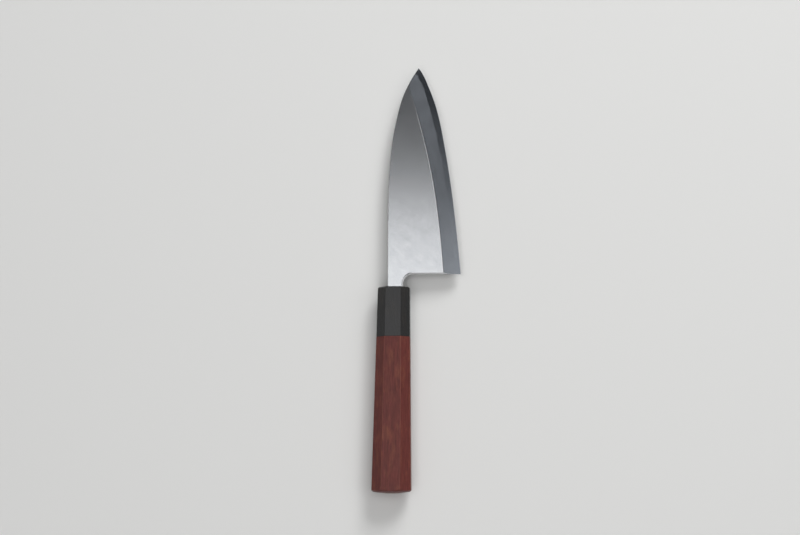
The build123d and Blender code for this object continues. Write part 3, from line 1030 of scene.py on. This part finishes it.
def in_steel(tree, zones):
    """1 on the hard steel, 0 on the soft iron."""
    wander = noise(tree, pattern_place(tree, WANDER_SIZE), detail=2.0)
    fray = noise(tree, pattern_place(tree, FRAY_SIZE), detail=2.0)
    weld = calc(tree, "ADD", zones["weld"], remap(tree, wander, 0, 1, -WELD_WANDER, WELD_WANDER))
    weld = calc(tree, "ADD", weld, remap(tree, fray, 0, 1, -WELD_FRAY, WELD_FRAY))
    widening = remap(tree, zones["share"], WIDENS_FROM, WIDENS_TO, 0, TIP_WIDENING)
    weld = calc(tree, "ADD", weld, widening)
    towards_tip = calc(tree, "MULTIPLY_ADD", zones["x"], TIP_SLOPE, zones["y"])
    return calc(tree, "MAXIMUM", step_up(tree, weld, 0.0, WELD_SOFTNESS),
                step_up(tree, towards_tip, tip_y - TIP_STEEL, TIP_SOFTNESS))


def steel_band(tree, zones, patterns):
    """The steel's finish: misty near the heel and smoother towards the tip, where painted shade darkens it.
    """
    # painted shade: the steel's colour turns darker towards the tip, while its roughness falls
    return laid_over(tree, finish(tree, MISTY_STEEL, patterns["mist"]),
                     finish(tree, MIRROR_STEEL_PAINTED_DARK, patterns["strokes"]),
                     remap(tree, zones["share"], SHADE_AND_POLISH_FROM, SHADE_AND_POLISH_TO))


print("the weld line wanders by up to", round((WELD_WANDER + WELD_FRAY) / MM, 2), "mm")

# %% [markdown]
# The upper face is built up as the maker works: first the flat, then the bevel, the steel in it,
# and last three fine painted lines. They are a painted highlight before the ridge, a painted shade
# line after it, and a painted highlight on the small second bevel along the edge. The painted
# highlights fade near the tip, and the painted shade runs on to where the ridge meets the spine.

# %% Upper face
RIDGE_LIGHT, RIDGE_SHADE, SMALL_BEVEL = 0.40 * MM, 0.5 * MM, 0.35 * MM
RIDGE_SOFTNESS, LIGHT_SOFTNESS, SHADE_SOFTNESS, EDGE_SOFTNESS = 0.08 * MM, 0.2 * MM, 0.4 * MM, 0.1 * MM
LIGHT_STRENGTH, SHADE_STRENGTH, EDGE_STRENGTH = 0.55, 0.45, 0.8
LIGHT_FADES_AT, SHADE_FADES_AT = (0.80, 0.14), (0.87, 0.06)
FLAT_CLOUDS, FLAT_SHADES = 0.5, (0.34, 0.66)
BEVEL_MIST, BEVEL_SHADES = 0.6, (0.35, 0.65)


def upper_face(tree, zones, patterns):
    """The finish of the flat and the bevel, with painted highlights along the ridge and the edge and a
    painted shade line past the ridge.
    """
    flat_shade = mixed(tree, FLAT_CLOUDS, patterns["grind"], patterns["clouds"])
    flat = finish(tree, SATIN_IRON, remap(tree, flat_shade, *FLAT_SHADES))
    mist_shade = mixed(tree, BEVEL_MIST, patterns["strokes"], patterns["mist"])
    misty = finish(tree, MISTY_IRON, remap(tree, mist_shade, *BEVEL_SHADES))
    on_bevel = step_up(tree, zones["ridge"], 0.0, RIDGE_SOFTNESS)
    face = laid_over(tree, flat, misty, on_bevel)
    showing_steel = both(tree, on_bevel, in_steel(tree, zones))
    face = laid_over(tree, face, steel_band(tree, zones, patterns), showing_steel)

    # painted highlight: a light finish for the line before the ridge and for the small bevel
    highlight_paint = finish(tree, BLADE_HIGHLIGHT_PAINT, patterns["strokes"])
    # painted shade: a dark finish for the line just past the ridge
    shaded = finish(tree, MIRROR_STEEL_PAINTED_DARK, patterns["strokes"])
    below_tip = opposite(tree, step_up(tree, zones["share"], *LIGHT_FADES_AT))
    below_spine = opposite(tree, step_up(tree, zones["share"], *SHADE_FADES_AT))
    from_light = step_up(tree, zones["ridge"], -RIDGE_LIGHT, LIGHT_SOFTNESS)
    before_ridge = both(tree, from_light, opposite(tree, on_bevel))
    past_shade = step_up(tree, zones["ridge"], RIDGE_SHADE, SHADE_SOFTNESS)
    after_ridge = both(tree, opposite(tree, past_shade), on_bevel)
    at_edge = step_up(tree, zones["edge"], -SMALL_BEVEL, EDGE_SOFTNESS)
    # painted highlight before the ridge, painted shade after it, painted highlight along the edge
    face = laid_over(tree, face, highlight_paint, both(tree, before_ridge, below_tip, LIGHT_STRENGTH))
    face = laid_over(tree, face, shaded, both(tree, after_ridge, below_spine, SHADE_STRENGTH))
    return laid_over(tree, face, highlight_paint, both(tree, at_edge, below_tip, EDGE_STRENGTH)), flat


print("light line", RIDGE_LIGHT / MM, "mm wide before the ridge")

# %% [markdown]
# The way the surface faces tells the rest apart: what looks down is the back, what looks sideways
# is the spine, the notch or the neck, and what looks up is the face. On the back only a narrow rim
# lies flat on the stone, and the hollow inside it keeps its satin. Both metals wear this one
# finish, because it passes over the weld on every side.

# %% The whole blade
RIM_DEPTH, RIM_SOFTNESS = 0.03 * MM, 0.02 * MM
FACES_UP, ROUNDING_STARTS, ROUNDING_ENDS, LEAVES_BACK = (0.75, 0.1), (0.2, 0.2), (0.86, 0.06), (-0.8, 0.1)
SCRATCH_DEPTH = 0.0003 * MM


def blade_metal(name):
    """The finish of the whole blade."""
    material, tree, shader = new_material(name)
    zones = blade_zones(tree)
    patterns = metal_patterns(tree)
    face, satin = upper_face(tree, zones, patterns)
    polished = finish(tree, POLISHED, patterns["strokes"])
    highlight_paint = finish(tree, BLADE_HIGHLIGHT_PAINT, patterns["strokes"])
    in_hollow = step_up(tree, zones["z"], back_z + RIM_DEPTH, RIM_SOFTNESS)
    rounded = both(tree, step_up(tree, zones["up"], *ROUNDING_STARTS),
                   opposite(tree, step_up(tree, zones["up"], *ROUNDING_ENDS)))
    metal = laid_over(tree, polished, satin, in_hollow)
    metal = laid_over(tree, metal, polished, step_up(tree, zones["up"], *LEAVES_BACK))
    metal = laid_over(tree, metal, face, step_up(tree, zones["up"], *FACES_UP))
    # painted highlight: the rounded edges are coloured lighter, as if they caught the light
    metal = laid_over(tree, metal, highlight_paint, rounded)
    on_bevel = step_up(tree, zones["ridge"], 0.0, RIDGE_SOFTNESS)
    scratches = mixed(tree, on_bevel, patterns["grind"], patterns["strokes"])
    set_shader(tree, shader, {**metal, "Metallic": 1.0, "Normal": relief(tree, scratches, SCRATCH_DEPTH)})
    print(material.name, "has", len(tree.nodes), "nodes")
    return material


for node in solids:
    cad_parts[node].data.materials[0] = blade_metal(f"{node}_finish")
